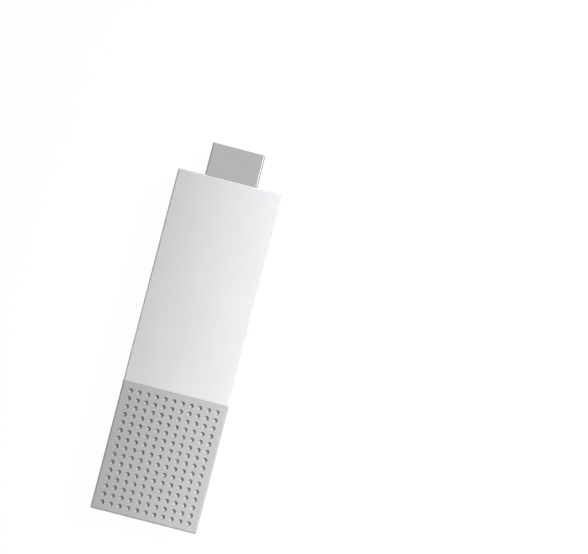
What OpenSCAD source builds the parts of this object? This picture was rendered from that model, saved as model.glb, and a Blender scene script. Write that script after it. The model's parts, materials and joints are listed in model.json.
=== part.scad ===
// Streaming media stick: a flat moulded housing with a video plug at one end and a vent at the other.
// Lengths are in millimetres. X runs across the stick, Y from the tail to the plug, Z out of the front face.
// The origin is in the middle of the whole outline, on the plane under the feet.

/* [Body] */
// Width of the housing
body_w = 27.6; // [26:0.1:34]
// Length of the housing from the tail to the nose, without the plug
body_l = 88.9; // [84:0.1:110]
// Thickness of the stick from the underside of its feet to the front face
body_t = 13; // [11.6:0.1:15]
// Radius of the upright corners, seen from the front
corner_r = 0.4; // [0.3:0.1:1.2]
// Radius of the edge round the front face
front_edge_r = 0.45; // [0.2:0.05:0.8]
// Radius of the edge round the back face
back_edge_r = 1.6; // [0.8:0.1:2]
// Length of the vent cover at the tail
vent_l = 33.3; // [28:0.1:42]
// Diameter of a foot on the back
foot_d = 5; // [4:0.5:6]
// Height that the feet stand out of the back
foot_h = 0.2; // [0.1:0.05:0.4]
// Depth of the pocket that holds a foot
foot_pocket_h = 0.4; // [0.3:0.05:0.5]
// Width of the bevel round the underside of a foot
foot_bevel = 0.15; // [0.1:0.05:0.3]
// Distance from the side and from the end of the housing to a foot's centre
foot_inset = [5.5, 5]; // [4.5:0.1:7]

/* [Walls and joints] */
// Thickness of the side and end walls
wall_t = 1.3; // [1.1:0.05:1.6]
// Thickness of the front panel
panel_t = 1.2; // [1:0.05:1.5]
// Thickness of the floor of the back cover
floor_t = 1.2; // [1:0.05:1.4]
// Radius of the upright corners inside the housing
inner_corner_r = 0.5; // [0.2:0.1:1]
// Gap between the white cover and the vent cover, seen from outside
seam_gap = 0.03; // [0.02:0.01:0.2]
// Height of the groove that runs round the stick at its parting line
parting_gap = 0.15; // [0.05:0.01:0.3]
// Height of the lip of the back cover inside the front covers
lip_h = 1; // [0.7:0.05:1.4]
// Thickness of that lip
lip_t = 0.6; // [0.45:0.05:0.8]
// Length of the ledge of the white cover under the vent cover
ledge_l = 1.3; // [0.8:0.1:1.6]
// Thickness of that ledge
ledge_t = 0.55; // [0.4:0.05:0.7]
// Clearance round the lip and the ledge
fit_gap = 0.05; // [0.03:0.01:0.1]
// Radius of the snap beads on the covers
bead_r = 0.22; // [0.15:0.01:0.28]
// Length of a snap bead
bead_l = 5; // [3:0.5:8]
// Width of the ribs that hold the board
rib_w = 1; // [0.8:0.1:1.5]
// Reach of those ribs from the side wall
rib_reach = 1.5; // [1.2:0.1:2]

/* [Vent] */
// Diameter of a vent hole
hole_d = 1.15; // [0.8:0.05:1.3]
// Distance between hole centres across the stick
hole_pitch_w = 2.26; // [1.9:0.01:3.2]
// Distance between hole centres along the stick
hole_pitch_l = 2.07; // [1.8:0.01:3]
// Margin from the side of the housing to the first hole centre
hole_side_margin = 2.4; // [2:0.1:4]
// Margin from the seam to the first hole centre
hole_seam_margin = 2.2; // [2:0.1:4]
// Margin from the tail to the last hole centre
hole_tail_margin = 2.2; // [2.1:0.1:4]
// Thickness of the dust screen behind the holes
screen_t = 0.3; // [0.2:0.05:0.4]
// Margin between the screen and the walls
screen_margin = 0.2; // [0.1:0.05:0.3]
// Width of a vent slot in the back
slot_w = 1; // [0.6:0.1:1.4]
// Length of a vent slot in the back
slot_l = 7.6; // [4:0.2:9]
// Distance between those slots
slot_pitch = 2.6; // [2:0.1:4]
// Distance from the tail to the slots
slot_inset = 9; // [8.6:0.1:12]

/* [Video plug] */
// Length of plug that stands out of the nose
plug_reach = 8.9; // [8:0.1:12.5]
// Width of the plug shell
plug_w = 13.9; // [12:0.05:15]
// Height of the plug shell
plug_h = 4.45; // [4:0.05:5]
// Width of the bevel on the two rear edges of the shell
plug_bevel_w = 1.5; // [1:0.05:1.9]
// Height of that bevel
plug_bevel_h = 1.35; // [1:0.05:1.7]
// Radius of the shell corners
plug_corner_r = 0.5; // [0.4:0.05:0.7]
// Thickness of the shell sheet
plug_sheet_t = 0.32; // [0.25:0.01:0.4]
// Depth of the plug behind the outside of the nose
plug_root_l = 4.5; // [3:0.1:6]
// Length of the shell legs in the board
plug_leg_l = 3.2; // [2:0.1:4]
// Height of those legs
plug_leg_h = 2.2; // [1.6:0.1:2.4]
// Clearance between the plug shell and the nose opening
plug_gap = 0.1; // [0.05:0.01:0.2]
// Depth of the insulator behind the mouth of the shell
plug_mouth_inset = 0.5; // [0.3:0.05:1]
// Width of the slot in the insulator
plug_slot_w = 11.4; // [10:0.1:12]
// Height of that slot
plug_slot_h = 2; // [1.7:0.05:2.3]
// Depth of that slot
plug_slot_l = 7.5; // [6:0.1:9]
// Distance between neighbouring contacts of one row
plug_pitch = 1; // [0.9:0.05:1.1]
// Contacts in the upper row
plug_upper_count = 10; // [8:1:10]
// Contacts in the lower row
plug_lower_count = 9; // [7:1:9]
// Width of a contact
plug_contact_w = 0.42; // [0.3:0.02:0.5]
// Thickness of a contact
plug_contact_t = 0.2; // [0.15:0.01:0.25]
// Depth of the channel that holds a contact
plug_channel_h = 0.45; // [0.35:0.05:0.55]
// Length of a contact foot on the board
plug_foot_l = 1.8; // [1.2:0.1:2.4]
// Width and length of a spring window on the rear face of the shell
plug_window = [1.8, 2.4]; // [1:0.1:3]
// Distance between the middles of the two windows
plug_window_pitch = 5.6; // [4:0.1:8]
// Distance from the plug tip to the windows
plug_window_inset = 3.4; // [2:0.1:5]

/* [Main board] */
// Thickness of the board
board_t = 1; // [0.8:0.1:1.2]
// Gap between the board and the side walls
board_side_gap = 0.7; // [0.6:0.05:0.9]
// Gap between the board and the tail wall
board_tail_gap = 1.1; // [0.6:0.1:2]
// Radius of the board corners
board_corner_r = 0.8; // [0.3:0.1:1.5]
// Clearance round what passes through the board
board_gap = 0.12; // [0.05:0.01:0.2]
// Length of board that the filters behind the plug take
nose_zone_l = 13; // [12.5:0.1:16]
// Diameter of the screw thread
screw_d = 1.6; // [1.2:0.1:1.9]
// Diameter of the screw head
screw_head_d = 3; // [2.4:0.1:3.4]
// Height of the screw head
screw_head_h = 0.9; // [0.6:0.1:1.2]
// Length, width and depth of the cross recess in the head
screw_recess = [2, 0.5, 0.45]; // [0.3:0.05:2.4]
// Length of thread below the board
screw_l = 3; // [2:0.1:3.4]
// Diameter of a screw boss
boss_d = 4; // [3.6:0.1:4.6]
// Depth of bore left under the end of a screw
boss_spare = 0.4; // [0.2:0.1:0.8]
// Distance from the tail end of the board to the tail screw
tail_screw_inset = 2.9; // [2.5:0.1:3.4]
// Distance from the nose end of the board to the nose screw
nose_screw_inset = 9.5; // [8:0.1:11]
// Distance from the side of the board to the nose screw
side_screw_inset = 2.9; // [2.5:0.1:3.4]

/* [Power port] */
// Width and height of the port shell
port_size = [7.5, 2.45]; // [2:0.05:9]
// Width and height of the bevels on its rear edges
port_bevel = [0.9, 0.8]; // [0.5:0.05:1.1]
// Radius of the port shell corners
port_corner_r = 0.4; // [0.35:0.05:0.5]
// Thickness of the port sheet
port_sheet_t = 0.25; // [0.2:0.01:0.3]
// Depth of the port shell
port_l = 5.2; // [4.4:0.1:6]
// Depth of the port mouth behind the side wall
port_inset = 0.4; // [0.2:0.05:0.6]
// Width that the flare of the mouth adds all round
port_flare = 0.3; // [0.2:0.05:0.35]
// Length of that flare
port_flare_l = 0.3; // [0.2:0.05:0.5]
// Clearance between the flare and the wall
port_gap = 0.2; // [0.1:0.05:0.3]
// Width and length of a port wing on the board
port_wing = [1, 1.6]; // [0.8:0.1:2]
// Width and thickness of the tongue in the port
port_tongue_size = [3.8, 0.55]; // [0.4:0.05:4.4]
// Thickness of the block at the back of the port
port_block_t = 1.2; // [0.8:0.1:1.6]
// Contacts on the tongue
port_contact_count = 5; // [3:1:5]
// Distance between those contacts
port_pitch = 0.65; // [0.55:0.05:0.7]
// Width of a port contact
port_contact_w = 0.3; // [0.2:0.02:0.4]
// Thickness of a port contact
port_contact_t = 0.15; // [0.1:0.01:0.2]
// Distance from the tip of the tongue to the tips of the contacts
port_contact_inset = 0.6; // [0.3:0.05:0.9]
// Length of the foot of a port contact on the board
port_foot_l = 1.2; // [0.8:0.1:1.6]

/* [Reset button] */
// Travel of the button
button_travel = 0.3; // [0.2:0.05:0.4]
// Width and height of the button face
button_size = [3.6, 1.8]; // [1.4:0.1:5]
// Radius of the corners of the button face
button_corner_r = 0.3; // [0.2:0.05:0.5]
// Depth of the button face behind the wall
button_inset = 0.12; // [0.05:0.01:0.3]
// Width that the collar behind the wall adds
button_collar = 0.6; // [0.4:0.05:0.9]
// Thickness of that collar
button_collar_t = 0.45; // [0.35:0.05:0.5]
// Clearance round the button
button_gap = 0.1; // [0.05:0.01:0.15]
// Width, height and length of the nub that meets the switch
button_nub = [1.5, 1, 0.5]; // [0.3:0.05:2]
// Width, depth and height of the switch
switch_size = [4.2, 2.6, 1.6]; // [1:0.1:5]
// Reach of the switch plunger out of its base
plunger_reach = 0.6; // [0.5:0.05:0.8]
// Width and height of the plunger
plunger_size = [1.5, 0.8]; // [0.5:0.05:2]
// Clearance between the switch and what stands beside it on the board
switch_side_gap = 0.2; // [0.1:0.05:0.4]
// Thickness of the metal frame over the switch
switch_sheet_t = 0.15; // [0.1:0.01:0.2]
// Thickness of the switch dome
dome_t = 0.08; // [0.05:0.01:0.12]

/* [Chips and cooling] */
// Width, length and height of the processor
processor_size = [13, 13, 1.2]; // [1:0.1:15]
// Width, length and height of a memory chip
memory_size = [7.5, 11, 1.1]; // [0.8:0.1:13]
// Width, length and height of the flash chip
flash_size = [11.5, 13, 1]; // [0.8:0.1:15]
// Width, length and height of the power chip
power_size = [5, 5, 0.9]; // [0.7:0.1:6]
// Gap between neighbouring chips
chip_gap = 1; // [0.6:0.1:1.4]
// Thickness of the base plate of a chip
chip_base_t = 0.3; // [0.2:0.05:0.4]
// Step from that plate to the moulded cap
chip_step = 0.25; // [0.1:0.05:0.4]
// Diameter of the corner mark in the cap
chip_mark_d = 0.8; // [0.5:0.1:1]
// Depth of that mark
chip_mark_h = 0.1; // [0.05:0.01:0.15]
// Distance from the tail end of the board to the shield
shield_inset = 7; // [6.5:0.1:8]
// Clearance between the chips and the ends of the shield
shield_end_gap = 2.5; // [1.2:0.1:4]
// Margin between the shield and the side of the board
shield_margin = 1.5; // [1.2:0.1:1.8]
// Height of the shield frame
shield_h = 1.6; // [1.5:0.05:2]
// Thickness of the shield sheet
shield_sheet_t = 0.2; // [0.15:0.01:0.3]
// Width of the inner flange of the shield frame
shield_flange_w = 0.8; // [0.5:0.1:0.9]
// Height of the skirt of the shield lid
shield_skirt_h = 1.2; // [0.6:0.05:1.3]
// Thickness of the pad on the shield lid
sink_pad_t = 0.5; // [0.3:0.05:0.7]
// Thickness of the heat sink base
sink_base_t = 0.8; // [0.6:0.05:1]
// Thickness of a fin
fin_t = 0.7; // [0.5:0.05:0.9]
// Distance between fins
fin_pitch = 2; // [1.6:0.1:2.6]
// Gap between the fins and the front panel
fin_gap = 0.2; // [0.1:0.05:0.3]
// Width, length and thickness of the spreader plate on the floor
spreader_size = [19, 22, 1]; // [0.8:0.1:24]

/* [Radio] */
// Width, length and thickness of the radio board
radio_size = [12, 12, 0.8]; // [0.6:0.1:13]
// Distance from the tail end of the board to the radio board
radio_inset = 6.2; // [5.6:0.1:7]
// Height of the radio shield
radio_shield_h = 1.4; // [1:0.1:1.8]
// Margin of the radio board round its shield
radio_margin = 0.6; // [0.4:0.1:1]
// Length of an antenna
antenna_l = 7.5; // [6:0.1:8.5]
// Height of an antenna
antenna_h = 3.6; // [2.8:0.1:4]
// Width of the antenna strip
antenna_strip_w = 0.9; // [0.6:0.1:1.1]
// Thickness of the antenna sheet
antenna_t = 0.3; // [0.2:0.05:0.4]
// Distance from the tail end of the board to the antennas
antenna_inset = 0.9; // [0.5:0.1:1.5]

/* [Small parts] */
// Width, length and height of an inductor
inductor_size = [4, 4, 2]; // [1.5:0.1:4.6]
// Gap between neighbouring inductors
inductor_gap = 0.8; // [0.6:0.1:1.2]
// Share of the width of an inductor that its round top takes
inductor_top_share = 0.8; // [0.6:0.05:0.9]
// Width, length and height of a ceramic capacitor
ceramic_size = [1.2, 2, 1.1]; // [0.8:0.1:2.4]
// Width, length and height of a tantalum capacitor
tantalum_size = [3.5, 2.8, 1.9]; // [1.5:0.1:4]
// Width, length and height of a resistor
resistor_size = [1, 0.5, 0.35]; // [0.3:0.05:1.2]
// Width, length and height of a crystal
crystal_size = [3.2, 2.5, 0.8]; // [0.6:0.1:3.8]
// Width, length and height of a choke
choke_size = [2, 1.2, 1.2]; // [1:0.1:2.3]
// Width, length and height of a surge array
surge_size = [2.5, 1, 0.6]; // [0.5:0.1:2.9]
// Width, length and height of the status light
light_size = [1.6, 0.8, 0.6]; // [0.5:0.1:1.9]
// Share of the width of the light that its lens takes
light_top_share = 0.7; // [0.5:0.05:0.9]
// Share of a small part's length that each solder end takes
terminal_share = 0.22; // [0.15:0.01:0.3]
// Thickness of a solder end round the part
terminal_t = 0.05; // [0.03:0.01:0.08]
// Pitch of small parts that stand in a row
row_pitch = 2.6; // [2.4:0.1:3]

/* [Hidden] */
$fn = 48;

// Overrun of every cut past the face that it opens
over = 1;

// Places along the stick, from the tail to the plug tip
tail_y = -(body_l + plug_reach) / 2;
nose_y = tail_y + body_l;
tip_y = nose_y + plug_reach;
seam_y = tail_y + vent_l;

// The housing parts at half its thickness, in the middle plane of the board and the plug
parting_z = body_t / 2;
ceiling_z = body_t - panel_t;
floor_z = foot_h + floor_t;
floor_root_z = foot_h + floor_t / 2;
side_x = body_w / 2;
inner_x = side_x - wall_t;
lip_x = inner_x + lip_t;
lip_top_z = parting_z + lip_h;

// The board fills the housing but for its gaps, and meets the back of the plug
board_w = 2 * (inner_x - board_side_gap);
board_tail_y = tail_y + wall_t + board_tail_gap;
board_nose_y = nose_y - plug_root_l;
board_l = board_nose_y - board_tail_y;
board_top_z = parting_z + board_t / 2;
board_low_z = parting_z - board_t / 2;

// The shield stands over the tail half of the board, and the chips stand in it
chips_l = memory_size.y + chip_gap + processor_size.y;
shield_w = board_w - 2 * shield_margin;
shield_l = chips_l + 2 * shield_end_gap;
shield_tail_y = board_tail_y + shield_inset;
shield_nose_y = shield_tail_y + shield_l;
shield_mid_y = (shield_tail_y + shield_nose_y) / 2;
shield_top_z = board_top_z + shield_h;
lid_top_z = shield_top_z + shield_sheet_t;
memory_y = shield_mid_y - chips_l / 2 + memory_size.y / 2;
processor_y = shield_mid_y + chips_l / 2 - processor_size.y / 2;

// The middle of the board lies between the shield and the filters behind the plug
middle_tail_y = shield_nose_y + chip_gap;
middle_nose_y = board_nose_y - nose_zone_l;
middle_l = middle_nose_y - middle_tail_y;
middle_y = (middle_tail_y + middle_nose_y) / 2;

// Port and switch share what length the middle of the board has to spare
port_zone_l = port_size.x + 2 * port_wing.x + 2 * board_gap;
button_zone_l = max(button_size.x + 2 * button_collar, switch_size.x) + 2 * switch_side_gap;
spare_l = middle_l - port_zone_l - button_zone_l;
port_share = 0.3;
button_share = 0.35;
port_y = middle_tail_y + port_zone_l / 2 + port_share * spare_l;
button_y = middle_nose_y - button_zone_l / 2 - button_share * spare_l;

// Port: the mouth lies in the side wall and the back stands over a notch in the board
port_mouth_x = side_x - port_inset;
port_back_x = port_mouth_x - port_l;
port_notch_x = port_back_x - port_sheet_t - port_contact_t;
port_tongue_top_z = parting_z - port_sheet_t;

// Button: collar behind the wall, nub against the plunger, and the switch behind it
button_face_x = side_x - button_inset;
button_low_z = parting_z + button_gap;
collar_x = inner_x - fit_gap;
collar_back_x = collar_x - button_collar_t;
nub_x = collar_back_x - button_nub.z;
switch_front_x = nub_x - plunger_reach;
switch_back_x = switch_front_x - switch_size.y;
plunger_z = board_top_z + switch_size.z / 2;
button_notch_x = collar_back_x - button_travel - board_gap;

// Screws, each as a place on the board
tail_screw = [0, board_tail_y + tail_screw_inset];
nose_screw = [side_screw_inset - board_w / 2, board_nose_y - nose_screw_inset];
screws = [tail_screw, nose_screw];
screw_bore_l = screw_l + boss_spare;

// Places of ribs and beads, as shares of the length of the piece that carries them
board_rib_shares = [0.1, 0.28, 0.5, 0.72, 0.96];
shield_rib_shares = [0.1, 0.5, 0.9];
front_rib_shares = [0.12, 0.5, 0.9];
vent_rib_shares = [0.28, 0.72];
front_bead_shares = [0.2, 0.62, 0.92];
vent_bead_shares = [0.22, 0.7];

function spread(from, length, shares) = [for (s = shares) from + s * length];
function row(count, pitch) = [for (i = [0:count - 1]) (i - (count - 1) / 2) * pitch];
function copies(length, pitch) = max(1, 1 + round(length / pitch));
function whole_copies(length, pitch) = max(1, 1 + floor(length / pitch));

front_l = nose_y - seam_y;
back_rib_ys = spread(board_tail_y, board_l, board_rib_shares);
shield_rib_ys = spread(shield_tail_y, shield_l, shield_rib_shares);
front_rib_ys = spread(seam_y, front_l, front_rib_shares);
vent_rib_ys = spread(tail_y, vent_l, vent_rib_shares);
front_bead_ys = spread(seam_y, front_l, front_bead_shares);
vent_bead_ys = spread(tail_y, vent_l, vent_bead_shares);

// Feet, one near each corner of the back
foot_x = side_x - foot_inset.x;
feet = [for (x = [-foot_x, foot_x], y = [tail_y + foot_inset.y, nose_y - foot_inset.y]) [x, y]];

// Grid of vent holes, in the middle of the room that its margins leave
hole_columns = copies(body_w - 2 * hole_side_margin, hole_pitch_w);
hole_rows = copies(vent_l - hole_seam_margin - hole_tail_margin, hole_pitch_l);
hole_grid_y = (seam_y - hole_seam_margin + tail_y + hole_tail_margin) / 2;

// Rounding of outlines: each corner gets a circle and the outline runs through its tangent points
function unit(v) = v / norm(v);
function corner(points, i) =
    let (n = len(points), p = points[i])
    let (a = unit(points[(i + n - 1) % n] - p), b = unit(points[(i + 1) % n] - p))
    [p, a, b, sqrt((1 - a * b) / 2), sqrt((1 + a * b) / 2)];

module rounded_polygon(points, radii) {
    corners = [for (i = [0:len(points) - 1]) corner(points, i)];
    for (i = [0:len(points) - 1]) let (c = corners[i])
        if (radii[i] > 0) translate(c[0] + unit(c[1] + c[2]) * radii[i] / c[3]) circle(radii[i]);
    polygon([for (i = [0:len(points) - 1]) let (c = corners[i], t = radii[i] * c[4] / c[3])
        each (radii[i] > 0 ? [c[0] + c[1] * t, c[0] + c[2] * t] : [c[0]])]);
}

module rounded_rect(low, high, r) {
    rounded_polygon([low, [high.x, low.y], high, [low.x, high.y]], [r, r, r, r]);
}

// Extrusions of a profile that is drawn in the plane across the named axis
module along_x(from, to) {
    translate([from, 0, 0]) rotate([90, 0, 90]) linear_extrude(to - from) children();
}

module along_y(from, to) {
    translate([0, to, 0]) rotate([90, 0, 0]) linear_extrude(to - from) children();
}

module along_z(from, to) {
    translate([0, 0, from]) linear_extrude(to - from) children();
}

module box(low, high) {
    translate(low) cube(high - low);
}

// A block of a given size that stands on a surface, or hangs below it
module standing(size, at, z) {
    translate([at.x - size.x / 2, at.y - size.y / 2, z]) cube(size);
}

module hanging(size, at, z) {
    standing(size, at, z - size.z);
}

// A strip of sheet bent along a line of points, with round bends
module bent_strip(points, thickness) {
    for (i = [0:len(points) - 2]) let (d = points[i + 1] - points[i])
        translate(points[i]) rotate(atan2(d.y, d.x))
            translate([0, -thickness / 2]) square([norm(d), thickness]);
    for (i = [1:len(points) - 2]) translate(points[i]) circle(thickness / 2);
}

// Outline of a connector shell: a rounded rectangle with two bevelled rear corners, drawn in by an inset
function bevelled(size, bevel, inset) =
    let (a = atan2(bevel.y, bevel.x), x = size.x / 2 - inset, top = size.y / 2 - inset,
        knee = bevel.y - size.y / 2 + inset * tan(45 - a / 2), foot = size.x / 2 - bevel.x - inset * tan(a / 2))
    [[x, top], [-x, top], [-x, knee], [-foot, inset - size.y / 2], [foot, inset - size.y / 2], [x, knee]];

module bevelled_outline(size, bevel, r, inset) {
    points = bevelled(size, bevel, inset);
    rounded_polygon(points, [for (p = points) max(r - inset, r / 4)]);
}

// Housing

module housing_block() {
    edges = [back_edge_r, back_edge_r, front_edge_r, front_edge_r];
    intersection() {
        along_z(foot_h, body_t) rounded_rect([-side_x, tail_y], [side_x, nose_y], corner_r);
        along_y(tail_y, nose_y)
            rounded_polygon([[-side_x, foot_h], [side_x, foot_h], [side_x, body_t], [-side_x, body_t]], edges);
        along_x(-side_x, side_x)
            rounded_polygon([[tail_y, foot_h], [nose_y, foot_h], [nose_y, body_t], [tail_y, body_t]], edges);
    }
}

// Plan of the space inside the housing, widened by a growth
module inner_plan(growth) {
    rounded_rect([-inner_x - growth, tail_y + wall_t - growth], [inner_x + growth, nose_y - wall_t + growth],
        inner_corner_r + growth);
}

module plug_opening() {
    translate([0, 0, parting_z]) along_y(nose_y - wall_t - over, nose_y + over)
        bevelled_outline([plug_w, plug_h], [plug_bevel_w, plug_bevel_h], plug_corner_r, -plug_gap);
}

module port_opening() {
    reach = port_flare + port_gap;
    half = [port_size.x / 2 + reach, port_size.y / 2 + reach];
    translate([0, port_y, parting_z]) along_x(port_back_x - over, side_x + over)
        rounded_rect(-half, half, port_corner_r + reach);
}

// Opening of the button: open at the parting line, so that the button drops in from below
module button_opening() {
    half_w = button_size.x / 2 + button_gap;
    top_z = button_low_z + button_size.y + button_gap;
    r = button_corner_r + button_gap;
    corners = [[-half_w, parting_z], [half_w, parting_z], [half_w, top_z], [-half_w, top_z]];
    translate([0, button_y, 0]) along_x(switch_front_x, side_x + over)
        rounded_polygon(corners, [0, 0, r, r]);
}

// Shell of the front half over a stretch of the stick, rebated inside for the lip of the back cover
module front_shell(from, to) {
    difference() {
        intersection() {
            housing_block();
            box([-side_x - over, from, parting_z + parting_gap], [side_x + over, to, body_t + over]);
        }
        along_z(0, ceiling_z) inner_plan(0);
        along_z(0, lip_top_z) inner_plan(lip_t + fit_gap);
    }
}

// Ribs from the ceiling down to the board
module ceiling_ribs(side, ys) {
    for (y = ys) mirror([side < 0 ? 1 : 0, 0, 0])
        box([inner_x - rib_reach, y - rib_w / 2, board_top_z], [inner_x, y + rib_w / 2, ceiling_z]);
}

// Root of each ceiling rib in the wall above the lip
module rib_roots(side, ys) {
    for (y = ys) mirror([side < 0 ? 1 : 0, 0, 0])
        box([inner_x - rib_reach, y - rib_w / 2, lip_top_z],
            [inner_x + ledge_t, y + rib_w / 2, ceiling_z + ledge_t]);
}

// Snap beads on both side walls, or with a growth the grooves that take them
module snap_beads(ys, growth) {
    for (side = [-1, 1], y = ys)
        translate([side * (lip_x + fit_gap), y, parting_z + lip_h / 2]) rotate([90, 0, 0])
            cylinder(h = bead_l + 2 * growth, r = bead_r + growth, center = true);
}

// Profile of the ledge of the white cover under the vent cover, widened by a growth
module ledge_profile(growth) {
    x = inner_x + ledge_t + growth;
    polygon([[-x, lip_top_z - growth], [-x, ceiling_z + ledge_t + growth], [x, ceiling_z + ledge_t + growth],
        [x, lip_top_z - growth]]);
}

module ledge() {
    difference() {
        along_y(seam_y - ledge_l, seam_y + ledge_l) ledge_profile(0);
        along_z(0, ceiling_z) inner_plan(0);
    }
}

module front_cover() {
    color("whitesmoke") difference() {
        union() {
            front_shell(seam_y + seam_gap / 2, nose_y + over);
            ledge();
            rib_roots(-1, front_rib_ys);
            ceiling_ribs(-1, front_rib_ys);
            snap_beads(front_bead_ys, 0);
        }
        plug_opening();
        port_opening();
        button_opening();
    }
}

module vent_holes() {
    for (x = row(hole_columns, hole_pitch_w), y = row(hole_rows, hole_pitch_l))
        translate([x, hole_grid_y + y]) circle(d = hole_d);
}

// Dust screen in the ceiling of the vent cover, or with a growth the recess that takes it
module screen_block(growth) {
    x = inner_x - screen_margin + growth;
    box([-x, tail_y + wall_t + screen_margin - growth, ceiling_z - growth],
        [x, seam_y - ledge_l - screen_margin + growth, ceiling_z + screen_t]);
}

module vent_cover() {
    color("darkgray") difference() {
        union() {
            difference() {
                front_shell(tail_y - over, seam_y - seam_gap / 2);
                along_y(seam_y - ledge_l - fit_gap, seam_y + over) ledge_profile(fit_gap);
                screen_block(fit_gap);
            }
            for (side = [-1, 1]) {
                rib_roots(side, vent_rib_ys);
                ceiling_ribs(side, vent_rib_ys);
            }
            snap_beads(vent_bead_ys, 0);
        }
        along_z(ceiling_z, body_t + over) vent_holes();
    }
}

// The screen has a notch round each rib
module vent_screen() {
    color("gainsboro") difference() {
        screen_block(0);
        for (side = [0, 1], y = vent_rib_ys) mirror([side, 0, 0])
            box([inner_x - rib_reach - fit_gap, y - rib_w / 2 - fit_gap, ceiling_z - over],
                [inner_x + over, y + rib_w / 2 + fit_gap, ceiling_z + screen_t + over]);
    }
}

module back_slots() {
    xs = row(copies(board_w - 2 * (rib_reach + slot_pitch), slot_pitch), slot_pitch);
    low_y = tail_y + slot_inset;
    for (x = xs) rounded_rect([x - slot_w / 2, low_y], [x + slot_w / 2, low_y + slot_l], slot_w / 2 - fit_gap);
}

module floor_ribs(side, ys) {
    for (y = ys) mirror([side < 0 ? 1 : 0, 0, 0])
        box([inner_x - rib_reach, y - rib_w / 2, floor_root_z],
            [inner_x + lip_t, y + rib_w / 2, board_low_z]);
}

module back_cover() {
    color("white") difference() {
        union() {
            difference() {
                intersection() {
                    housing_block();
                    box([-side_x - over, tail_y - over, -over], [side_x + over, nose_y + over, parting_z]);
                }
                along_z(floor_z, body_t) inner_plan(0);
            }
            difference() {
                along_z(parting_z - lip_h, lip_top_z) inner_plan(lip_t);
                along_z(floor_z, body_t) inner_plan(0);
                snap_beads(concat(front_bead_ys, vent_bead_ys), fit_gap);
            }
            floor_ribs(-1, back_rib_ys);
            floor_ribs(1, shield_rib_ys);
            for (s = screws) translate([s.x, s.y, floor_root_z])
                cylinder(h = board_low_z - floor_root_z, d = boss_d);
        }
        for (s = screws) translate([s.x, s.y, board_low_z - screw_bore_l])
            cylinder(h = screw_bore_l + over, d = screw_d);
        along_z(-over, floor_z + over) back_slots();
        along_z(-over, foot_h + foot_pocket_h) for (p = feet) translate(p) circle(d = foot_d + 2 * fit_gap);
        plug_opening();
        port_opening();
        button_opening();
    }
}

// Soft feet, each a disc with a bevelled underside, in a pocket of the back cover
module rest_feet() {
    r = foot_d / 2;
    top_z = foot_h + foot_pocket_h;
    color("lightgray") for (p = feet) translate([p.x, p.y, 0])
        rotate_extrude() polygon([[0, 0], [r - foot_bevel, 0], [r, foot_bevel], [r, top_z], [0, top_z]]);
}

// Video plug

module plug_outline(inset) {
    bevelled_outline([plug_w, plug_h], [plug_bevel_w, plug_bevel_h], plug_corner_r, inset);
}

module plug_shell() {
    leg_x = plug_w / 2;
    window_y = tip_y - plug_window_inset;
    color("silver") translate([0, 0, parting_z]) {
        difference() {
            along_y(board_nose_y, tip_y) plug_outline(0);
            along_y(board_nose_y - over, tip_y + over) plug_outline(plug_sheet_t);
            for (x = row(2, plug_window_pitch))
                box([x - plug_window.x / 2, window_y - plug_window.y, -plug_h / 2 - over],
                    [x + plug_window.x / 2, window_y, -plug_h / 2 + plug_sheet_t]);
        }
        for (side = [0, 1]) mirror([side, 0, 0])
            box([leg_x - plug_sheet_t, board_nose_y - plug_leg_l, plug_h / 2 - plug_corner_r - plug_leg_h],
                [leg_x, board_nose_y, plug_h / 2 - plug_corner_r]);
    }
}

// Crown and root of the bow of a contact, as shares of the depth of the slot
plug_bow_shares = [0.12, 0.34];

// Channel roof of the contacts, above the middle plane
plug_roof_z = plug_slot_h / 2 + plug_channel_h;
plug_face_y = tip_y - plug_mouth_inset;

// Channel of one contact, in the upper half of the insulator
module plug_channel(x) {
    half_w = (plug_contact_w + fit_gap) / 2;
    box([x - half_w, plug_face_y - plug_slot_l, 0], [x + half_w, plug_face_y - plug_mouth_inset, plug_roof_z]);
    box([x - half_w, board_nose_y - over, plug_roof_z - plug_contact_t - fit_gap],
        [x + half_w, plug_face_y - plug_slot_l + over, plug_roof_z]);
}

module plug_insulator() {
    color("dimgray") translate([0, 0, parting_z]) difference() {
        along_y(board_nose_y, plug_face_y) plug_outline(plug_sheet_t);
        box([-plug_slot_w / 2, plug_face_y - plug_slot_l, -plug_slot_h / 2],
            [plug_slot_w / 2, plug_face_y + over, plug_slot_h / 2]);
        for (x = row(plug_upper_count, plug_pitch)) plug_channel(x);
        for (x = row(plug_lower_count, plug_pitch)) mirror([0, 0, 1]) plug_channel(x);
    }
}

// Side view of a contact: a bowed spring in the slot, a straight beam and a foot on the board
module plug_contact_profile() {
    beam_z = plug_roof_z - plug_contact_t / 2;
    bow_z = plug_slot_h / 2 - plug_contact_t / 2;
    foot_z = (board_t + plug_contact_t) / 2;
    start_y = plug_face_y - 2 * plug_mouth_inset;
    bow_ys = [for (s = plug_bow_shares) start_y - s * plug_slot_l];
    foot_y = board_nose_y - plug_channel_h;
    bent_strip([[start_y, (beam_z + bow_z) / 2], [bow_ys[0], bow_z], [bow_ys[1], beam_z], [foot_y, beam_z],
        [foot_y - plug_channel_h, foot_z], [foot_y - plug_channel_h - plug_foot_l, foot_z]],
        plug_contact_t);
}

module plug_contacts(count) {
    for (x = row(count, plug_pitch))
        along_x(x - plug_contact_w / 2, x + plug_contact_w / 2) plug_contact_profile();
}

module plug_upper_contacts() {
    color("gold") translate([0, 0, parting_z]) plug_contacts(plug_upper_count);
}

module plug_lower_contacts() {
    color("gold") translate([0, 0, parting_z]) mirror([0, 0, 1]) plug_contacts(plug_lower_count);
}

// Main board and its screws

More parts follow.
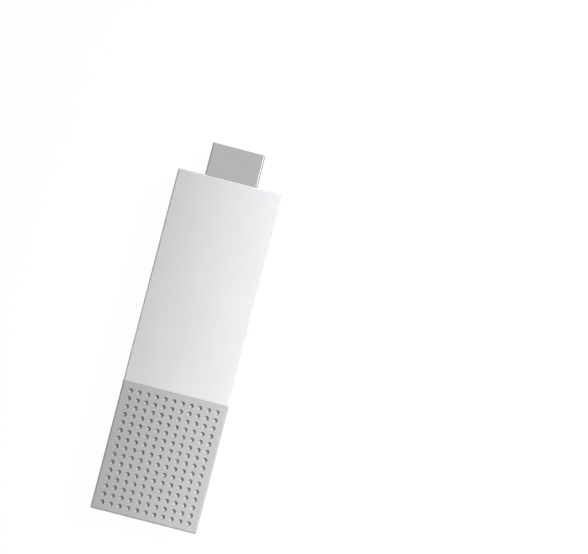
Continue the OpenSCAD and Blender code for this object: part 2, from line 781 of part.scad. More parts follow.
module board_outline() {
    half_w = board_w / 2;
    leg_x = plug_w / 2 - plug_sheet_t / 2;
    leg_half_w = plug_sheet_t / 2 + board_gap;
    notch_half_l = port_size.x / 2 + board_gap;
    difference() {
        rounded_rect([-half_w, board_tail_y], [half_w, board_nose_y], board_corner_r);
        for (side = [-1, 1]) translate([side * leg_x - leg_half_w, board_nose_y - plug_leg_l - board_gap])
            square([2 * leg_half_w, plug_leg_l + board_gap + over]);
        translate([port_notch_x, port_y - notch_half_l])
            square([half_w - port_notch_x + over, 2 * notch_half_l]);
        translate([button_notch_x, button_y - button_zone_l / 2])
            square([half_w - button_notch_x + over, button_zone_l]);
        for (s = screws) translate(s) circle(d = screw_d + 2 * board_gap);
    }
}

module main_board() {
    color("seagreen") along_z(board_low_z, board_top_z) board_outline();
}

module board_screws() {
    for (s = screws) color("slategray") translate([s.x, s.y, 0]) difference() {
        union() {
            translate([0, 0, board_low_z - screw_l])
                cylinder(h = board_top_z - board_low_z + screw_l, d = screw_d);
            translate([0, 0, board_top_z]) cylinder(h = screw_head_h, d = screw_head_d);
        }
        for (turn = [0, 90]) translate([0, 0, board_top_z + screw_head_h - screw_recess.z]) rotate(turn)
            standing([screw_recess.x, screw_recess.y, screw_head_h], [0, 0], 0);
    }
}

// Chips

// A chip: base plate, moulded cap and a round corner mark
module chip(size) {
    cap = [size.x - 2 * chip_step, size.y - 2 * chip_step, size.z];
    mark = [chip_step + chip_mark_d - size.x / 2, chip_step + chip_mark_d - size.y / 2, size.z - chip_mark_h];
    difference() {
        union() {
            standing([size.x, size.y, chip_base_t], [0, 0], 0);
            standing(cap, [0, 0], 0);
        }
        translate(mark) cylinder(h = chip_mark_h + over, d = chip_mark_d);
    }
}

module processor_chip() {
    color("darkslategray") translate([0, processor_y, board_top_z]) chip(processor_size);
}

module memory_chips() {
    pitch = memory_size.x + chip_gap;
    count = whole_copies(shield_w - 4 * shield_sheet_t - memory_size.x, pitch);
    color("darkslategray") for (x = row(count, pitch))
        translate([x, memory_y, board_top_z]) chip(memory_size);
}

// The flash chip and a column of resistors share the width that the feet of the port leave free
flash_share = 0.3;
flash_margin_share = 0.2439;
resistor_gap_share = 0.0813;
port_feet_x = port_back_x - port_contact_t - port_foot_l;
flash_spare_w = port_feet_x + board_w / 2 - flash_size.x - resistor_size.x;
flash_x = flash_margin_share * flash_spare_w + flash_size.x / 2 - board_w / 2;
flash_y = middle_tail_y + flash_size.y / 2 + flash_share * (middle_l - flash_size.y);

module flash_chip() {
    color("darkslategray") translate([flash_x, flash_y, board_top_z]) chip(flash_size);
}

// The power parts hang under the middle of the board
inductor_x = shield_margin + inductor_size.x / 2 - board_w / 2;
power_x = inductor_x + inductor_size.x / 2 + chip_gap + power_size.x / 2;

module power_chip() {
    color("darkslategray") translate([power_x, middle_y, board_low_z]) mirror([0, 0, 1]) chip(power_size);
}

// A small part with a body and two solder ends along its longer side
module end_capped(size) {
    long_x = size.x > size.y;
    end = long_x ? [size.x * terminal_share, size.y] : [size.x, size.y * terminal_share];
    step = long_x ? [(size.x - end.x) / 2, 0] : [0, (size.y - end.y) / 2];
    inner = long_x ? [size.x, size.y - 2 * terminal_t, size.z - terminal_t]
        : [size.x - 2 * terminal_t, size.y, size.z - terminal_t];
    standing(inner, [0, 0], 0);
    for (side = [-1, 1]) standing([end.x, end.y, size.z], side * step, 0);
}

module power_inductors() {
    color("dimgray") for (y = row(3, inductor_size.y + inductor_gap))
        translate([inductor_x, middle_y + y, board_low_z]) mirror([0, 0, 1]) difference() {
            union() {
                end_capped(inductor_size);
                cylinder(h = inductor_size.z, d = min(inductor_size.x, inductor_size.y) * inductor_top_share);
            }
            translate([0, 0, inductor_size.z - chip_mark_h]) cylinder(h = over, d = chip_mark_d);
        }
}

module tantalum_capacitors() {
    color("goldenrod") for (y = row(2, power_size.y + 2 * chip_gap + tantalum_size.y))
        translate([power_x, middle_y + y, board_low_z]) mirror([0, 0, 1]) end_capped(tantalum_size);
}

// Rows across the board behind the plug, each at its distance from the nose end of the board
plug_feet_l = 2 * plug_channel_h + plug_foot_l;
choke_y = board_nose_y - plug_feet_l - chip_gap - choke_size.y / 2;
surge_y = choke_y - choke_size.y / 2 - chip_gap - surge_size.y / 2;
crystal_y = surge_y - surge_size.y / 2 - chip_gap - crystal_size.y / 2;

module plug_chokes() {
    color("black") for (x = row(4, row_pitch)) translate([x, choke_y, board_top_z]) end_capped(choke_size);
}

module surge_arrays() {
    color("dimgray") for (x = row(3, surge_size.x + chip_gap))
        translate([x, surge_y, board_top_z]) end_capped(surge_size);
}

module crystals() {
    color("silver") for (x = row(2, crystal_size.x + chip_gap)) translate([x, crystal_y, board_top_z]) {
        standing([crystal_size.x, crystal_size.y, crystal_size.z / 2], [0, 0], 0);
        standing([crystal_size.x - 2 * chip_step, crystal_size.y - 2 * chip_step, crystal_size.z], [0, 0], 0);
    }
}

module ceramic_capacitors() {
    color("tan") for (x = row(4, row_pitch), y = [choke_y, crystal_y])
        translate([x, y, board_low_z]) mirror([0, 0, 1]) end_capped(ceramic_size);
}

module chip_resistors() {
    x = flash_x + flash_size.x / 2 + resistor_gap_share * flash_spare_w + resistor_size.x / 2;
    color("black") for (y = row(6, resistor_size.y + chip_gap)) translate([x, flash_y + y, board_top_z])
        end_capped(resistor_size);
}

// The status light stands between the antennas and the shield, under the vent holes
module status_light() {
    light_y = shield_tail_y - chip_gap - light_size.y / 2;
    color("ivory") translate([-shield_w / 4, light_y, board_top_z]) {
        standing([light_size.x, light_size.y, light_size.z / 2], [0, 0], 0);
        standing([light_size.x * light_top_share, light_size.y, light_size.z], [0, 0], 0);
    }
}

// Shield and cooling

module shield_plan(inset) {
    square([shield_w - 2 * inset, shield_l - 2 * inset], center = true);
}

module shield_frame() {
    rail_y = memory_y - shield_mid_y + (memory_size.y + chip_gap) / 2;
    color("silver") translate([0, shield_mid_y, 0]) {
        along_z(board_top_z, shield_top_z) difference() {
            shield_plan(shield_sheet_t);
            shield_plan(2 * shield_sheet_t);
        }
        along_z(shield_top_z - shield_sheet_t, shield_top_z) {
            difference() {
                shield_plan(shield_sheet_t);
                shield_plan(shield_flange_w);
            }
            translate([-shield_w / 2 + shield_sheet_t, rail_y - shield_flange_w / 4])
                square([shield_w - 2 * shield_sheet_t, shield_flange_w / 2]);
        }
    }
}

module shield_lid() {
    color("silver") translate([0, shield_mid_y, 0]) {
        along_z(shield_top_z, lid_top_z) shield_plan(0);
        along_z(lid_top_z - shield_skirt_h, lid_top_z) difference() {
            shield_plan(0);
            shield_plan(shield_sheet_t);
        }
    }
}

module chip_pad() {
    low_z = board_top_z + processor_size.z;
    size = [processor_size.x - 2 * chip_step, processor_size.y - 2 * chip_gap, shield_top_z - low_z];
    color("steelblue") standing(size, [0, processor_y], low_z);
}

sink_w = shield_w - 2 * shield_sheet_t;
sink_l = shield_l - 2 * shield_sheet_t;

module sink_pad() {
    size = [sink_w - 2 * chip_gap, sink_l - 2 * chip_gap, sink_pad_t];
    color("steelblue") standing(size, [0, shield_mid_y], lid_top_z);
}

module heat_sink() {
    base_z = lid_top_z + sink_pad_t;
    fin_base_z = base_z + sink_base_t;
    fins = row(copies(sink_w - fin_t - fin_pitch, fin_pitch), fin_pitch);
    color("lightsteelblue") along_y(shield_mid_y - sink_l / 2, shield_mid_y + sink_l / 2) {
        translate([-sink_w / 2, base_z]) square([sink_w, sink_base_t]);
        for (x = fins) translate([x - fin_t / 2, base_z]) square([fin_t, ceiling_z - fin_gap - base_z]);
    }
}

module lower_spreader() {
    half = [spreader_size.x, spreader_size.y] / 2;
    color("lightsteelblue") along_z(floor_z, floor_z + spreader_size.z)
        translate([0, processor_y]) rounded_rect(-half, half, board_corner_r);
}

module lower_pad() {
    low_z = floor_z + spreader_size.z;
    size = [processor_size.x, processor_size.y, board_low_z - low_z];
    color("steelblue") standing(size, [0, processor_y], low_z);
}

// Radio

radio_y = board_tail_y + radio_inset + radio_size.y / 2;

module radio_board() {
    color("seagreen") hanging(radio_size, [0, radio_y], board_low_z);
}

module radio_shield() {
    size = [radio_size.x - 2 * radio_margin, radio_size.y - 2 * radio_margin, radio_shield_h];
    inner = [size.x - 2 * shield_sheet_t, size.y - 2 * shield_sheet_t, radio_shield_h - shield_sheet_t];
    color("silver") translate([0, 0, -radio_size.z]) difference() {
        hanging(size, [0, radio_y], board_low_z);
        hanging([inner.x, inner.y, inner.z + over], [0, radio_y], board_low_z + over);
    }
}

// An antenna: an upright sheet with a long arm on two legs, the outer leg at the side of the board
module antenna() {
    strip = antenna_strip_w;
    outer_x = board_w / 2 - rib_reach;
    inner_end_x = outer_x - antenna_l;
    arm_z = board_top_z + antenna_h - strip;
    color("gold") along_y(board_tail_y + antenna_inset, board_tail_y + antenna_inset + antenna_t) {
        translate([inner_end_x, arm_z]) square([antenna_l, strip]);
        for (x = [outer_x - strip, outer_x - 3 * strip])
            translate([x, board_top_z]) square([strip, antenna_h]);
    }
}

module right_antenna() {
    antenna();
}

module left_antenna() {
    mirror([1, 0, 0]) antenna();
}

// Power port

module port_outline(inset) {
    bevelled_outline(port_size, port_bevel, port_corner_r, inset);
}

module port_shell() {
    wing_x = port_back_x + port_wing.y / 2;
    color("silver") translate([0, port_y, 0]) {
        translate([0, 0, parting_z]) difference() {
            union() {
                along_x(port_back_x, port_mouth_x) port_outline(0);
                along_x(port_mouth_x - port_flare_l, port_mouth_x) port_outline(-port_flare);
            }
            along_x(port_back_x - over, port_mouth_x + over) port_outline(port_sheet_t);
        }
        for (side = [0, 1]) mirror([0, side, 0])
            box([wing_x, port_size.x / 2 - port_sheet_t, board_top_z],
                [wing_x + port_wing.y, port_size.x / 2 + port_wing.x, board_top_z + port_sheet_t]);
    }
}

module port_tongue() {
    half_w = port_tongue_size.x / 2;
    tongue_low_z = port_tongue_top_z - port_tongue_size.y;
    color("dimgray") translate([0, port_y, 0]) difference() {
        union() {
            translate([0, 0, parting_z]) along_x(port_back_x, port_back_x + port_block_t)
                port_outline(port_sheet_t);
            box([port_back_x, -half_w, tongue_low_z], [port_mouth_x - port_block_t, half_w, port_tongue_top_z]);
        }
        for (y = row(port_contact_count, port_pitch))
            box([port_back_x - over, y - port_contact_w / 2, port_tongue_top_z - port_contact_t],
                [port_mouth_x, y + port_contact_w / 2, port_tongue_top_z]);
    }
}

// Each contact lies in the top of the tongue and steps up to the board behind the port
module port_contacts() {
    beam_z = port_tongue_top_z - port_contact_t / 2;
    foot_z = board_top_z + port_contact_t / 2;
    bend_x = port_back_x - port_contact_t;
    color("gold") translate([0, port_y, 0]) for (y = row(port_contact_count, port_pitch))
        translate([0, y + port_contact_w / 2, 0]) rotate([90, 0, 0]) linear_extrude(port_contact_w)
            bent_strip([[port_mouth_x - port_block_t - port_contact_inset, beam_z], [bend_x, beam_z],
                [bend_x, foot_z], [bend_x - port_foot_l, foot_z]], port_contact_t);
}

// Reset button and its switch

module button_outline(growth) {
    half_w = button_size.x / 2 + growth;
    rounded_rect([-half_w, button_low_z], [half_w, button_low_z + button_size.y + growth], button_corner_r);
}

module reset_button() {
    nub = button_nub;
    color("whitesmoke") translate([0, button_y, 0]) {
        along_x(collar_back_x, button_face_x) button_outline(0);
        along_x(collar_back_x, collar_x) button_outline(button_collar);
        along_x(nub_x, collar_x) translate([0, plunger_z]) square([nub.x, nub.y], center = true);
    }
}

// The base is open towards the button, with a pocket for the dome and the plunger
pocket_x = switch_back_x + switch_size.y / 3;
plunger_half = [plunger_size.x / 2, plunger_size.y / 2];

module switch_base() {
    pocket = switch_size.x / 2 - 2 * switch_sheet_t;
    low_z = board_top_z + 2 * switch_sheet_t;
    high_z = board_top_z + switch_size.z - 2 * switch_sheet_t;
    color("dimgray") translate([0, button_y, 0]) difference() {
        box([switch_back_x + switch_sheet_t, switch_sheet_t - switch_size.x / 2, board_top_z],
            [switch_front_x - switch_sheet_t, switch_size.x / 2 - switch_sheet_t,
            board_top_z + switch_size.z - switch_sheet_t]);
        box([pocket_x, -pocket, low_z], [switch_front_x + over, pocket, high_z]);
    }
}

// Sheet frame folded over the top, the back and the front of the base, with a hole for the plunger
module switch_frame() {
    half = switch_size.x / 2;
    top_z = board_top_z + switch_size.z;
    hole = plunger_half + [fit_gap, fit_gap];
    color("silver") translate([0, button_y, 0]) difference() {
        union() {
            box([switch_back_x, -half, top_z - switch_sheet_t], [switch_front_x, half, top_z]);
            box([switch_back_x, -half, board_top_z], [switch_back_x + switch_sheet_t, half, top_z]);
            box([switch_front_x - switch_sheet_t, -half, board_top_z], [switch_front_x, half, top_z]);
        }
        box([switch_front_x - over, -hole.x, plunger_z - hole.y],
            [switch_front_x + over, hole.x, plunger_z + hole.y]);
    }
}

// The plunger has a collar behind the frame and rests on the crown of the dome
plunger_collar_x = switch_front_x - switch_sheet_t - fit_gap;
plunger_back_x = plunger_collar_x - 2 * switch_sheet_t;

module switch_plunger() {
    color("black") translate([0, button_y, 0]) {
        box([plunger_back_x, -plunger_half.x, plunger_z - plunger_half.y],
            [nub_x, plunger_half.x, plunger_z + plunger_half.y]);
        box([plunger_back_x, -plunger_half.x - 2 * fit_gap, plunger_z - plunger_half.y],
            [plunger_collar_x, plunger_half.x + 2 * fit_gap, plunger_z + plunger_half.y]);
    }
}

// The dome is a shallow bowed strip against the back of the pocket, clear of the pressed plunger
module switch_dome() {
    rise = plunger_back_x - button_travel - fit_gap - pocket_x;
    half = plunger_half.x;
    color("silver") translate([0, button_y, 0]) along_z(plunger_z - plunger_half.y, plunger_z + plunger_half.y)
        bent_strip([[pocket_x + dome_t / 2, -half], [pocket_x + rise - dome_t / 2, -half / 3],
            [pocket_x + rise - dome_t / 2, half / 3], [pocket_x + dome_t / 2, half]], dome_t);
}

front_cover();
vent_cover();
vent_screen();
back_cover();
rest_feet();
reset_button();
plug_shell();
plug_insulator();
plug_upper_contacts();
plug_lower_contacts();
main_board();
board_screws();
processor_chip();
memory_chips();
flash_chip();
power_chip();
power_inductors();
ceramic_capacitors();
tantalum_capacitors();
chip_resistors();
crystals();
plug_chokes();
surge_arrays();
status_light();
shield_frame();
shield_lid();
chip_pad();
sink_pad();
heat_sink();
lower_pad();
lower_spreader();
radio_board();
radio_shield();
left_antenna();
right_antenna();
port_shell();
port_tongue();
port_contacts();
switch_base();
switch_frame();
switch_dome();
switch_plunger();
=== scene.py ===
"""Looks of the streaming media stick: camera, light and the finish of every piece.

Metres throughout. The stick lies on its back on the floor, with the plug towards +Y.
"""

import json
from math import cos, radians, sin

import bpy
from mathutils import Matrix, Vector


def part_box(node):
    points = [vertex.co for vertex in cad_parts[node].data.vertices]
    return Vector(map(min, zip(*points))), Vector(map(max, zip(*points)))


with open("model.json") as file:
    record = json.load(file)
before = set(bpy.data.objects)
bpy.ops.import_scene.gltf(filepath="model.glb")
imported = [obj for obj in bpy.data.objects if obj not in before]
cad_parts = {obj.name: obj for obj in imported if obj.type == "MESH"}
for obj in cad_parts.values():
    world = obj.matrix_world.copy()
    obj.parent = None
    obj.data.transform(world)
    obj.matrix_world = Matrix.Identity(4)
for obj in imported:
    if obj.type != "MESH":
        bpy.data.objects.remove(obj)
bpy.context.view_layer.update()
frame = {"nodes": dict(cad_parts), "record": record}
nodes = frame["nodes"]

MM = 1e-3
MICRON = 1e-6
WHITE = (1.0, 1.0, 1.0)


# The camera

# The photograph in its own pixels: its size, and the middle of the stick's front face
PHOTO_SIZE = (588, 554)
FACE_PIXEL = (187.15, 350.8)
# Turn of the stick in the photograph, and the length on its front face that one pixel covers
STICK_TURN = radians(14.43)
METRES_PER_PIXEL = 0.2536 * MM
# Height of the camera over the front face, and the nearest and farthest that it sees
CAMERA_HEIGHT = 0.6
CAMERA_NEAR = 0.01
CAMERA_FAR = 20.0
# Width of the camera's sensor in millimetres, the unit of its lens
SENSOR = 36.0

front_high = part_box("front_cover")[1]
vent_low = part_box("vent_cover")[0]
face_centre = Vector((0.0, (vent_low.y + front_high.y) / 2, front_high.z))
image_right = Vector((cos(STICK_TURN), sin(STICK_TURN), 0.0))
image_up = Vector((-sin(STICK_TURN), cos(STICK_TURN), 0.0))


def new_object(name, data):
    """An object of the scene that holds this mesh, lamp or camera."""
    thing = bpy.data.objects.new(name, data)
    bpy.context.scene.collection.objects.link(thing)
    return thing


def looking(place, target, up):
    """The matrix of a camera or lamp at a place that looks at a target, with this way up."""
    back = (place - target).normalized()
    right = up.cross(back).normalized()
    turn = Matrix((right, back.cross(right), back)).transposed()
    return Matrix.Translation(place) @ turn.to_4x4()


def make_camera():
    """A long lens straight above the stick, turned so that the stick lies as in the photograph."""
    right_pixels = PHOTO_SIZE[0] / 2 - FACE_PIXEL[0]
    up_pixels = FACE_PIXEL[1] - PHOTO_SIZE[1] / 2
    target = face_centre + (image_right * right_pixels + image_up * up_pixels) * METRES_PER_PIXEL
    place = face_centre + Vector((0.0, 0.0, CAMERA_HEIGHT))
    depth = (place - face_centre).dot((place - target).normalized())
    data = bpy.data.cameras.new("camera")
    data.sensor_width = SENSOR
    data.lens = SENSOR * depth / (PHOTO_SIZE[0] * METRES_PER_PIXEL)
    data.clip_start = CAMERA_NEAR
    data.clip_end = CAMERA_FAR
    camera = new_object("camera", data)
    camera.matrix_world = looking(place, target, image_up)
    bpy.context.scene.camera = camera


make_camera()


# Node trees

# Amounts of finer detail in a noise
PLAIN = 1.0
SOFT = 2.0
FINE = 3.0
FINEST = 4.0
# Spans of a value that a ramp follows: the middle or a broad part of a noise, and the whole of a share
MIDDLE = (0.3, 0.7)
BROAD = (0.2, 0.8)
WHOLE = (0.0, 1.0)


class NodeTree:
    """The nodes of a material or of the world, with short calls for what the two share."""

    def __init__(self, owner, output):
        owner.use_nodes = True
        self.tree = owner.node_tree
        self.tree.nodes.clear()
        self.output = self.add(output)

    def add(self, kind, **settings):
        node = self.tree.nodes.new(kind)
        for key, value in settings.items():
            setattr(node, key, value)
        return node

    def join(self, source, target):
        self.tree.links.new(source, target)

    def colour(self, value, target):
        """Sets an input to a colour, or joins it to one that other nodes make."""
        if isinstance(value, bpy.types.NodeSocket):
            self.join(value, target)
        else:
            target.default_value = (*value, 1.0)

    def end(self, source):
        """Joins the last shader to the output."""
        self.join(source, self.output.inputs["Surface"])

    def ramp(self, source, low, high, span=MIDDLE):
        """Maps a span of a value to numbers from low to high."""
        node = self.add("ShaderNodeMapRange")
        node.inputs["From Min"].default_value, node.inputs["From Max"].default_value = span
        node.inputs["To Min"].default_value = low
        node.inputs["To Max"].default_value = high
        self.join(source, node.inputs["Value"])
        return node.outputs["Result"]

    def larger(self, first, second):
        """The larger of two values."""
        node = self.add("ShaderNodeMath", operation="MAXIMUM")
        self.join(first, node.inputs[0])
        self.join(second, node.inputs[1])
        return node.outputs[0]

    def seen(self):
        """1 for rays of the camera, of reflections and through clear things, and 0 for all others."""
        ways = self.add("ShaderNodeLightPath")
        camera_or_glossy = self.larger(ways.outputs["Is Camera Ray"], ways.outputs["Is Glossy Ray"])
        return self.larger(camera_or_glossy, ways.outputs["Is Transmission Ray"])


class Shader(NodeTree):
    """A new material, with short calls for the nodes that the finishes share."""

    def __init__(self, name):
        self.material = bpy.data.materials.new(name)
        super().__init__(self.material, "ShaderNodeOutputMaterial")
        self.point = self.add("ShaderNodeTexCoord").outputs["Object"]

    def stretched(self, scale):
        """The object's own coordinates, scaled by one number per axis."""
        mapping = self.add("ShaderNodeMapping")
        mapping.inputs["Scale"].default_value = scale
        self.join(self.point, mapping.inputs["Vector"])
        return mapping.outputs["Vector"]

    def noise(self, size, detail, stretch=(1, 1, 1)):
        """Noise with features of about this size."""
        node = self.add("ShaderNodeTexNoise")
        node.inputs["Scale"].default_value = 1.0 / size
        node.inputs["Detail"].default_value = detail
        self.join(self.stretched(stretch), node.inputs["Vector"])
        return node.outputs["Fac"]

    def uneven(self, source, value, spread, span=MIDDLE):
        """Maps a noise to numbers that lie up to a share below and above a value."""
        return self.ramp(source, value * (1 - spread), value * (1 + spread), span)

    def blend(self, factor, dark, light):
        """Goes from the dark to the light colour as the factor goes from 0 to 1."""
        node = self.add("ShaderNodeMix", data_type="RGBA")
        self.join(factor, node.inputs["Factor"])
        self.colour(dark, node.inputs["A"])
        self.colour(light, node.inputs["B"])
        return node.outputs["Result"]

    def bump(self, source, depth, below=None):
        """Bump of a depth, on top of another bump where one is given."""
        node = self.add("ShaderNodeBump")
        node.inputs["Distance"].default_value = depth
        self.join(source, node.inputs["Height"])
        if below is not None:
            self.join(below, node.inputs["Normal"])
        return node.outputs["Normal"]

    def surface(self, metallic=0.0, ior=1.5, **links):
        """The principled surface, with the linked colour, roughness and normal."""
        node = self.add("ShaderNodeBsdfPrincipled")
        node.inputs["Metallic"].default_value = metallic
        node.inputs["IOR"].default_value = ior
        for name, source in links.items():
            self.join(source, node.inputs[name.replace("_", " ")])
        self.end(node.outputs["BSDF"])

    def glow(self, strength):
        """Plain white light of a strength."""
        node = self.add("ShaderNodeEmission")
        self.colour(WHITE, node.inputs["Color"])
        node.inputs["Strength"].default_value = strength
        return node.outputs["Emission"]


# Finishes

# Scales per axis: of streaks along the stick, across it or upright, and of a pattern with no height
ALONG = (1, 0.06, 1)
ACROSS = (0.06, 1, 1)
UPRIGHT = (1, 1, 0.06)
FLAT = (1, 1, 0)

# Moulded plastic: sizes of its flow marks, gloss patches and long waves
FLOW_SIZE = 9 * MM
PATCH_SIZE = 4 * MM
WAVE_SIZE = 6 * MM
# How far its roughness lies to each side of its value, as a share of it
PATCH_SPREAD = 0.05

# Plated metal: sizes of its clouds, drawn streaks and gloss bands
CLOUD_SIZE = 3 * MM
STREAK_SIZE = 0.05 * MM
BAND_SIZE = 1.2 * MM
# How far its roughness lies to each side of its value, as a share of it
BAND_SPREAD = 0.2

# Woven screen: scale at which the waves of the wave texture lie one metre apart, and their unevenness
WAVE_SCALE = 0.3142
THREAD_WANDER = 0.4
# Height of its threads as a share of their pitch
THREAD_HEIGHT = 1 / 8
# Size of its fluffy patches, and its least and greatest roughness
FLUFF_SIZE = 0.6 * MM
FLUFF_ROUGHNESS = (0.75, 0.9)

# Circuit board: scale at which the brick texture counts in millimetres, and in these the length of
# its tracks from step to step, their spacing and their width
BRICK_SCALE = 1 / MM
TRACK_LENGTH = 4.6
TRACK_SPACING = 0.55
TRACK_WIDTH = 0.07
# Softness of the tracks' edges, and the share of their length by which every other row is shifted
TRACK_SOFTNESS = 0.2
TRACK_SHIFT = 0.37
# How high the tracks stand
TRACK_HEIGHT = 0.02 * MM
# Shade of the darkest fields of the mask against the lightest
MASK_SHADE = 0.82
# Size of the mask's gloss patches, and its least and greatest roughness
MASK_PATCH_SIZE = 1 * MM
MASK_ROUGHNESS = (0.3, 0.42)
# Spacing of the board's tinned holes, and the shares of it where a hole's rim starts and ends
VIA_SPACING = 2.6 * MM
VIA_RIM = (0.05, 0.06)


def shades(colour, spread):
    """A darker and a lighter shade of a colour, a share to each side of it."""
    return [c * (1 - spread) for c in colour], [min(1.0, c * (1 + spread)) for c in colour]


def moulded(name, colour, roughness, grain, depth, spread=0.015, ior=1.5):
    """Moulded plastic: faint flow marks in the colour, uneven gloss and a fine grain."""
    s = Shader(name)
    flow = s.ramp(s.noise(FLOW_SIZE, FINE), 0.0, 1.0)
    colours = s.blend(flow, *shades(colour, spread))
    gloss = s.uneven(s.noise(PATCH_SIZE, SOFT), roughness, PATCH_SPREAD, BROAD)
    waves = s.bump(s.noise(WAVE_SIZE, PLAIN), depth)
    normal = s.bump(s.noise(grain, FINE), depth, waves)
    s.surface(ior=ior, Base_Color=colours, Roughness=gloss, Normal=normal)
    return s.material


def plated(name, colour, roughness, stretch, depth=0.6 * MICRON, spread=0.05):
    """Plated or brushed metal: streaks and gloss bands along one axis, and a cloudy colour."""
    s = Shader(name)
    cloud = s.ramp(s.noise(CLOUD_SIZE, FINE), 0.0, 1.0)
    colours = s.blend(cloud, *shades(colour, spread))
    gloss = s.uneven(s.noise(BAND_SIZE, FINEST, stretch), roughness, BAND_SPREAD)
    normal = s.bump(s.noise(STREAK_SIZE, FINE, stretch), depth)
    s.surface(metallic=1.0, Base_Color=colours, Roughness=gloss, Normal=normal)
    return s.material


def woven(name, thread, painted_gap_shade, pitch):
    """Fine dust screen: threads that cross at a pitch, with painted shade in the gaps between them."""
    s = Shader(name)
    waves = []
    for direction in ("X", "Y"):
        wave = s.add("ShaderNodeTexWave", wave_type="BANDS", bands_direction=direction)
        wave.inputs["Scale"].default_value = WAVE_SCALE / pitch
        wave.inputs["Distortion"].default_value = THREAD_WANDER
        s.join(s.point, wave.inputs["Vector"])
        waves.append(wave.outputs["Fac"])
    height = s.larger(*waves)
    # The low gaps between threads take the darker colour: painted shade in the weave's hollows
    colours = s.blend(height, painted_gap_shade, thread)
    gloss = s.ramp(s.noise(FLUFF_SIZE, FINE), *FLUFF_ROUGHNESS)
    normal = s.bump(height, pitch * THREAD_HEIGHT)
    s.surface(Base_Color=colours, Roughness=gloss, Normal=normal)
    return s.material


def laminate(name, mask, copper, tin):
    """Circuit board: solder mask over stepped copper tracks, with small tinned holes."""
    s = Shader(name)
    tracks = s.add("ShaderNodeTexBrick", offset=TRACK_SHIFT)
    tracks.inputs["Scale"].default_value = BRICK_SCALE
    tracks.inputs["Brick Width"].default_value = TRACK_LENGTH
    tracks.inputs["Row Height"].default_value = TRACK_SPACING
    tracks.inputs["Mortar Size"].default_value = TRACK_WIDTH
    tracks.inputs["Mortar Smooth"].default_value = TRACK_SOFTNESS
    s.colour(mask, tracks.inputs["Color1"])
    s.colour([c * MASK_SHADE for c in mask], tracks.inputs["Color2"])
    s.colour(copper, tracks.inputs["Mortar"])
    s.join(s.stretched(FLAT), tracks.inputs["Vector"])
    vias = s.add("ShaderNodeTexVoronoi", voronoi_dimensions="2D")
    vias.inputs["Scale"].default_value = 1 / VIA_SPACING
    s.join(s.point, vias.inputs["Vector"])
    hole = s.ramp(vias.outputs["Distance"], 1.0, 0.0, VIA_RIM)
    colours = s.blend(hole, tracks.outputs["Color"], tin)
    gloss = s.ramp(s.noise(MASK_PATCH_SIZE, FINE), *MASK_ROUGHNESS)
    normal = s.bump(tracks.outputs["Fac"], TRACK_HEIGHT)
    s.surface(Base_Color=colours, Roughness=gloss, Normal=normal)
    return s.material


# Plastics by slot: grain is the size of the bumps, depth their height, spread how far the colour varies
PLASTICS = {
    "white_gloss": dict(colour=(0.86, 0.865, 0.875), roughness=0.3,
                        grain=0.12 * MM, depth=0.4 * MICRON),
    "white_satin": dict(colour=(0.85, 0.855, 0.862), roughness=0.42,
                        grain=0.1 * MM, depth=1.2 * MICRON),
    "grey_matte": dict(colour=(0.557, 0.56, 0.567), roughness=0.5,
                       grain=0.09 * MM, depth=1.5 * MICRON, spread=0.02),
    "foot_silicone": dict(colour=(0.5, 0.505, 0.51), roughness=0.62,
                          grain=0.14 * MM, depth=2.5 * MICRON, spread=0.03, ior=1.42),
    "insulator_black": dict(colour=(0.022, 0.022, 0.024), roughness=0.5,
                            grain=0.08 * MM, depth=1.2 * MICRON, spread=0.1),
    "chip_black": dict(colour=(0.03, 0.03, 0.033), roughness=0.6,
                       grain=0.06 * MM, depth=2 * MICRON, spread=0.12),
    "ferrite_grey": dict(colour=(0.07, 0.07, 0.072), roughness=0.7,
                         grain=0.08 * MM, depth=3 * MICRON, spread=0.15),
    "capacitor_tan": dict(colour=(0.42, 0.28, 0.16), roughness=0.45,
                          grain=0.08 * MM, depth=2 * MICRON, spread=0.12),
    "tantalum_amber": dict(colour=(0.7, 0.42, 0.06), roughness=0.4,
                           grain=0.1 * MM, depth=1 * MICRON, spread=0.06),
    "pad_blue": dict(colour=(0.12, 0.24, 0.42), roughness=0.75,
                     grain=0.2 * MM, depth=6 * MICRON, spread=0.08),
    "light_ivory": dict(colour=(0.75, 0.74, 0.66), roughness=0.3,
                        grain=0.1 * MM, depth=1 * MICRON, spread=0.03),
}

# Metals by slot: stretch is the way that the streaks run, depth their height
METALS = {
    "plug_steel": dict(colour=(0.452, 0.454, 0.458), roughness=0.15, stretch=ALONG,
                       depth=0.15 * MICRON, spread=0.015),
    "contact_gold": dict(colour=(0.83, 0.62, 0.27), roughness=0.25, stretch=ALONG),
    "screw_steel": dict(colour=(0.42, 0.42, 0.44), roughness=0.35, stretch=UPRIGHT),
    "crystal_can": dict(colour=(0.66, 0.66, 0.67), roughness=0.3, stretch=ACROSS),
    "shield_tin": dict(colour=(0.64, 0.64, 0.65), roughness=0.38, stretch=ACROSS),
    "sink_aluminium": dict(colour=(0.7, 0.71, 0.73), roughness=0.42, stretch=ALONG),
    "antenna_brass": dict(colour=(0.72, 0.52, 0.24), roughness=0.3, stretch=ACROSS),
}

finishes = {slot: moulded(slot, **values) for slot, values in PLASTICS.items()}
finishes.update({slot: plated(slot, **values) for slot, values in METALS.items()})
# The screen's gap colour is painted shade between its threads
finishes["screen_weave"] = woven("screen_weave", thread=(0.77, 0.773, 0.78),
                                 painted_gap_shade=(0.63, 0.633, 0.64), pitch=0.16 * MM)
finishes["board_green"] = laminate("board_green", mask=(0.01, 0.09, 0.04),
                                   copper=(0.025, 0.17, 0.07), tin=(0.6, 0.6, 0.58))

for part in frame["record"]["subparts"]:
    piece = nodes[part["node"]]
    piece.data.materials.clear()
    piece.data.materials.append(finishes[part["material_slot"]])


# Floor and light

# Side of the floor, how far it lies under the feet, and the colour of its paper
FLOOR_SIZE = 3.0
FLOOR_DROP = 0.02 * MM
FLOOR_PAPER = (0.6, 0.6, 0.6)
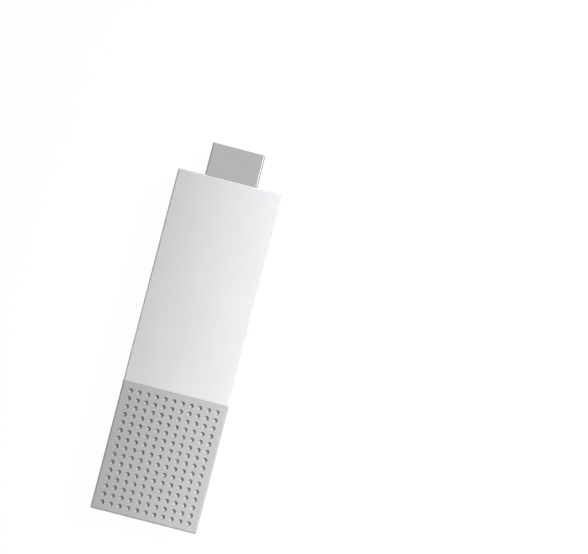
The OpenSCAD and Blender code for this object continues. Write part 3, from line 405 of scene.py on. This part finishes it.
# Share of the paper, with its shadow, in what is seen of the floor, and strength of the white in the rest
FLOOR_SHARE = 0.1
FLOOR_GLOW = 1.08

# Strength of the even light from all round
FILL_STRENGTH = 0.2

# The grey card: its distance from the stick's middle, and its height
CARD_REACH = 0.25
CARD_HEIGHT = 0.27
# Directions of its two ends and of the fold between them, and its strength
CARD_ANGLES = [radians(a) for a in (155, 180, 205)]
CARD_GLOW = 0.4

# The key lamp is a tall sheet to the upper right. It stands at a height over the point that it aims at,
# and for each metre of height it stands this far to the right and towards the plug
KEY_HEIGHT = 0.2
KEY_SLOPE = (0.37, 0.46)
# Its width and length, and the spread of its narrow beam
KEY_SIZE = (0.24, 0.4)
KEY_SPREAD = radians(44)
# It aims at a strip as wide as itself, which starts this far to the right of the stick's middle. So the
# stick lies where the beam fades, and its left near the beam's edge
KEY_EDGE = 0.0143
# Its power in watts, and its colour
KEY_POWER = 0.54
KEY_COLOUR = (0.975, 0.987, 1.0)


def new_mesh_object(name, points, faces):
    """An object of the scene whose mesh has these points and faces."""
    mesh = bpy.data.meshes.new(name)
    mesh.from_pydata(points, [], faces)
    return new_object(name, mesh)


def make_floor():
    """A pale floor, white to the camera and in reflections, with part of the stick's shadow."""
    half = FLOOR_SIZE / 2
    corners = [(-half, -half, 0), (half, -half, 0), (half, half, 0), (-half, half, 0)]
    floor = new_mesh_object("floor", corners, [(0, 1, 2, 3)])
    floor.location.z = -FLOOR_DROP
    s = Shader("floor")
    paper = s.add("ShaderNodeBsdfDiffuse")
    s.colour(FLOOR_PAPER, paper.inputs["Color"])
    mix = s.add("ShaderNodeMixShader")
    s.join(s.ramp(s.seen(), 0.0, 1.0 - FLOOR_SHARE, WHOLE), mix.inputs["Fac"])
    s.join(paper.outputs["BSDF"], mix.inputs[1])
    s.join(s.glow(FLOOR_GLOW), mix.inputs[2])
    s.end(mix.outputs["Shader"])
    floor.data.materials.append(s.material)


def make_world():
    """Even fill light, plain white to the camera and in reflections."""
    world = bpy.data.worlds.new("world")
    bpy.context.scene.world = world
    tree = NodeTree(world, "ShaderNodeOutputWorld")
    background = tree.add("ShaderNodeBackground")
    tree.colour(WHITE, background.inputs["Color"])
    tree.join(tree.ramp(tree.seen(), FILL_STRENGTH, 1.0, WHOLE), background.inputs["Strength"])
    tree.end(background.outputs["Background"])


def make_grey_card():
    """An upright card to the left, seen in reflections only, for the darker left edges of metal."""
    corners = [Vector((cos(angle), sin(angle), 0)) * CARD_REACH for angle in CARD_ANGLES]
    points = [corner + Vector((0, 0, z)) for corner in corners for z in (0, CARD_HEIGHT)]
    faces = [(2 * i, 2 * i + 2, 2 * i + 3, 2 * i + 1) for i in range(len(corners) - 1)]
    card = new_mesh_object("grey_card", points, faces)
    for ray in ("camera", "diffuse", "transmission", "shadow"):
        setattr(card, "visible_" + ray, False)
    s = Shader("grey_card")
    s.end(s.glow(CARD_GLOW))
    card.data.materials.append(s.material)


def make_key_lamp():
    """A rectangular lamp with its long side along the stick and its beam kept narrow."""
    aim = face_centre + Vector((KEY_EDGE + KEY_SIZE[0] / 2, 0.0, 0.0))
    place = aim + Vector((*KEY_SLOPE, 1.0)) * KEY_HEIGHT
    data = bpy.data.lights.new("key", "AREA")
    data.shape = "RECTANGLE"
    data.size, data.size_y = KEY_SIZE
    data.spread = KEY_SPREAD
    data.energy = KEY_POWER
    data.color = KEY_COLOUR
    lamp = new_object("key", data)
    lamp.matrix_world = looking(place, aim, Vector((0.0, 1.0, 0.0)))
    lamp.visible_camera = False


make_floor()
make_world()
make_grey_card()
make_key_lamp()

bpy.context.scene.view_settings.view_transform = "Standard"
